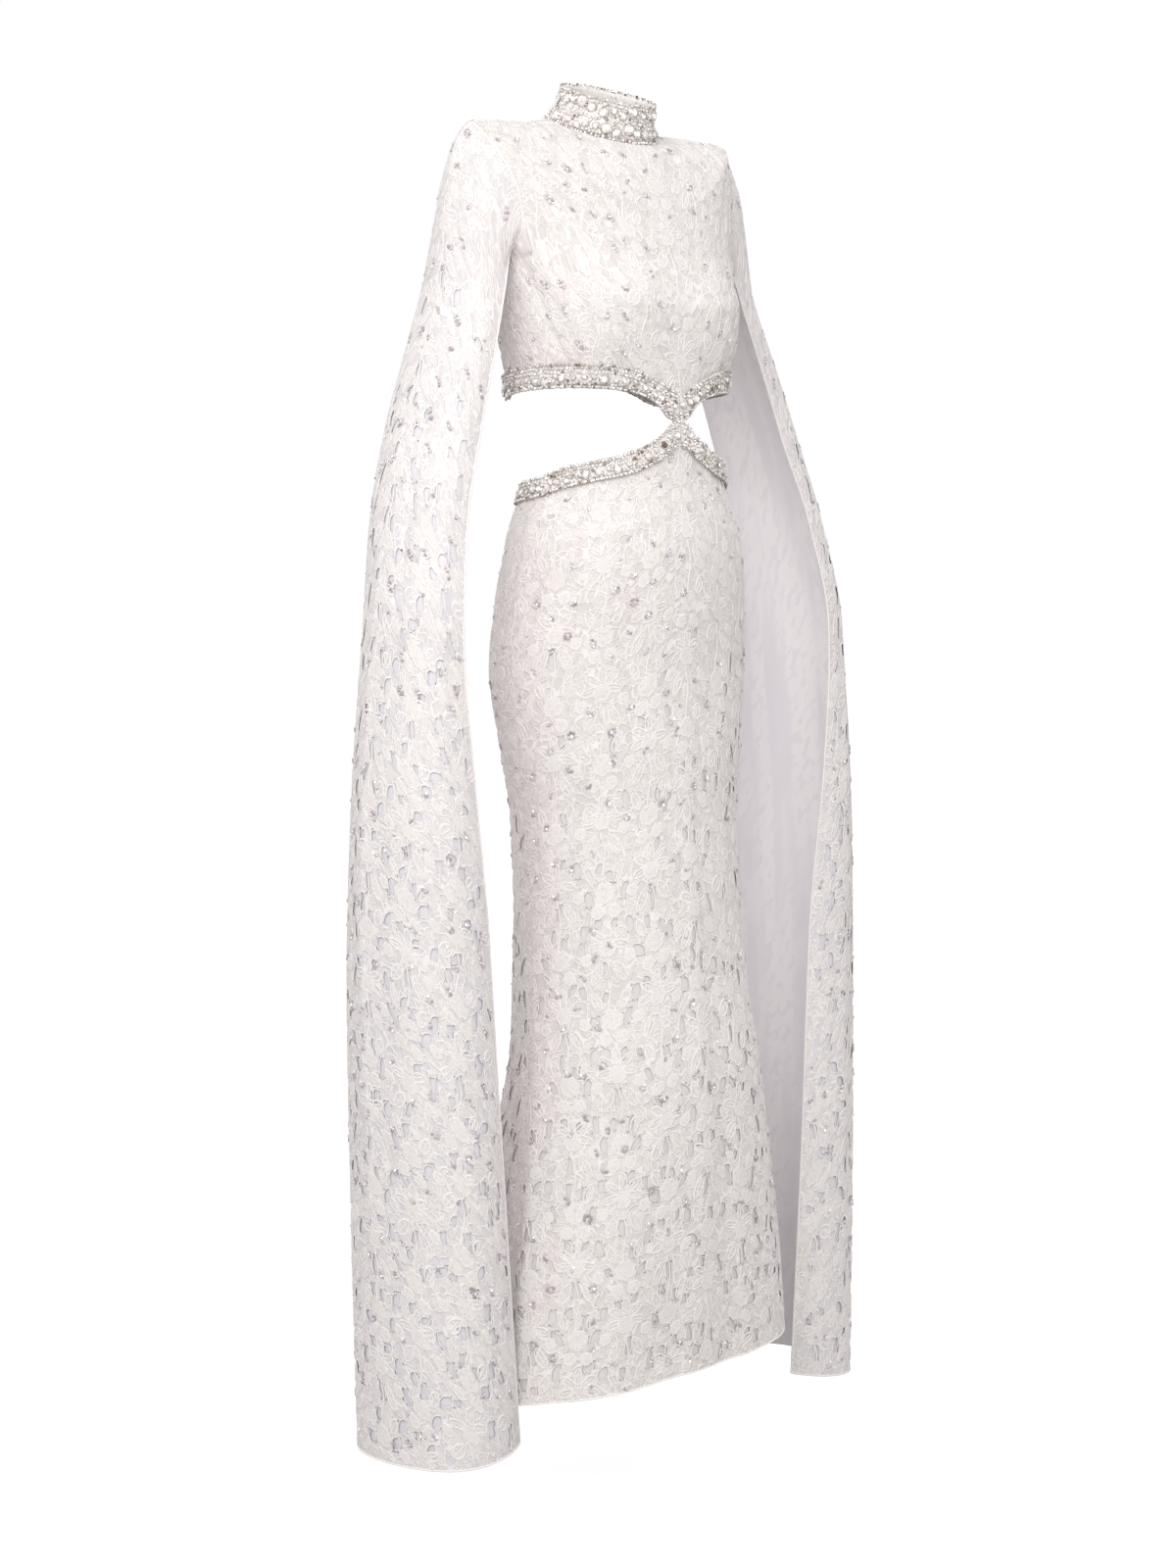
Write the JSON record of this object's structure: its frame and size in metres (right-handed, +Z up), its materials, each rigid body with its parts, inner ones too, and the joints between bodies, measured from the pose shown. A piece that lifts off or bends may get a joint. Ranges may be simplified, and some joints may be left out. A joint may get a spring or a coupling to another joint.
{
  "type": "long dress",
  "caption": "Floor-length lace dress with a jewelled stand collar, crossed cut-out waist, open cape sleeves and trumpet skirt",
  "frame": {"origin": "middle of the neck base, where the wearer's shoulders and neck hold the dress", "axes": "+Z up along the wearer, -Y the front of the dress, +X the wearer's left"},
  "size_m": [0.6896, 0.3641, 1.5185],
  "materials": {
    "lace": "matt corded lace",
    "sleeve_lining": "sheer lining",
    "skirt_lining": "matt lining",
    "jewelled_band": "clear stones in silver settings"
  },
  "bodies": {
    "root": {"collar": "jewelled_band", "bodice_front": "lace", "bodice_back": "lace", "band_upper_left": "jewelled_band", "band_upper_right": "jewelled_band", "band_lower_left": "jewelled_band", "band_lower_right": "jewelled_band", "skirt_lace_front": "lace", "skirt_lace_back": "lace", "skirt_lining_front": "skirt_lining", "skirt_lining_back": "skirt_lining", "sleeve_lace_left": "lace", "sleeve_lace_right": "lace", "sleeve_lining_left": "sleeve_lining", "sleeve_lining_right": "sleeve_lining"}
  },
  "joints": []
}
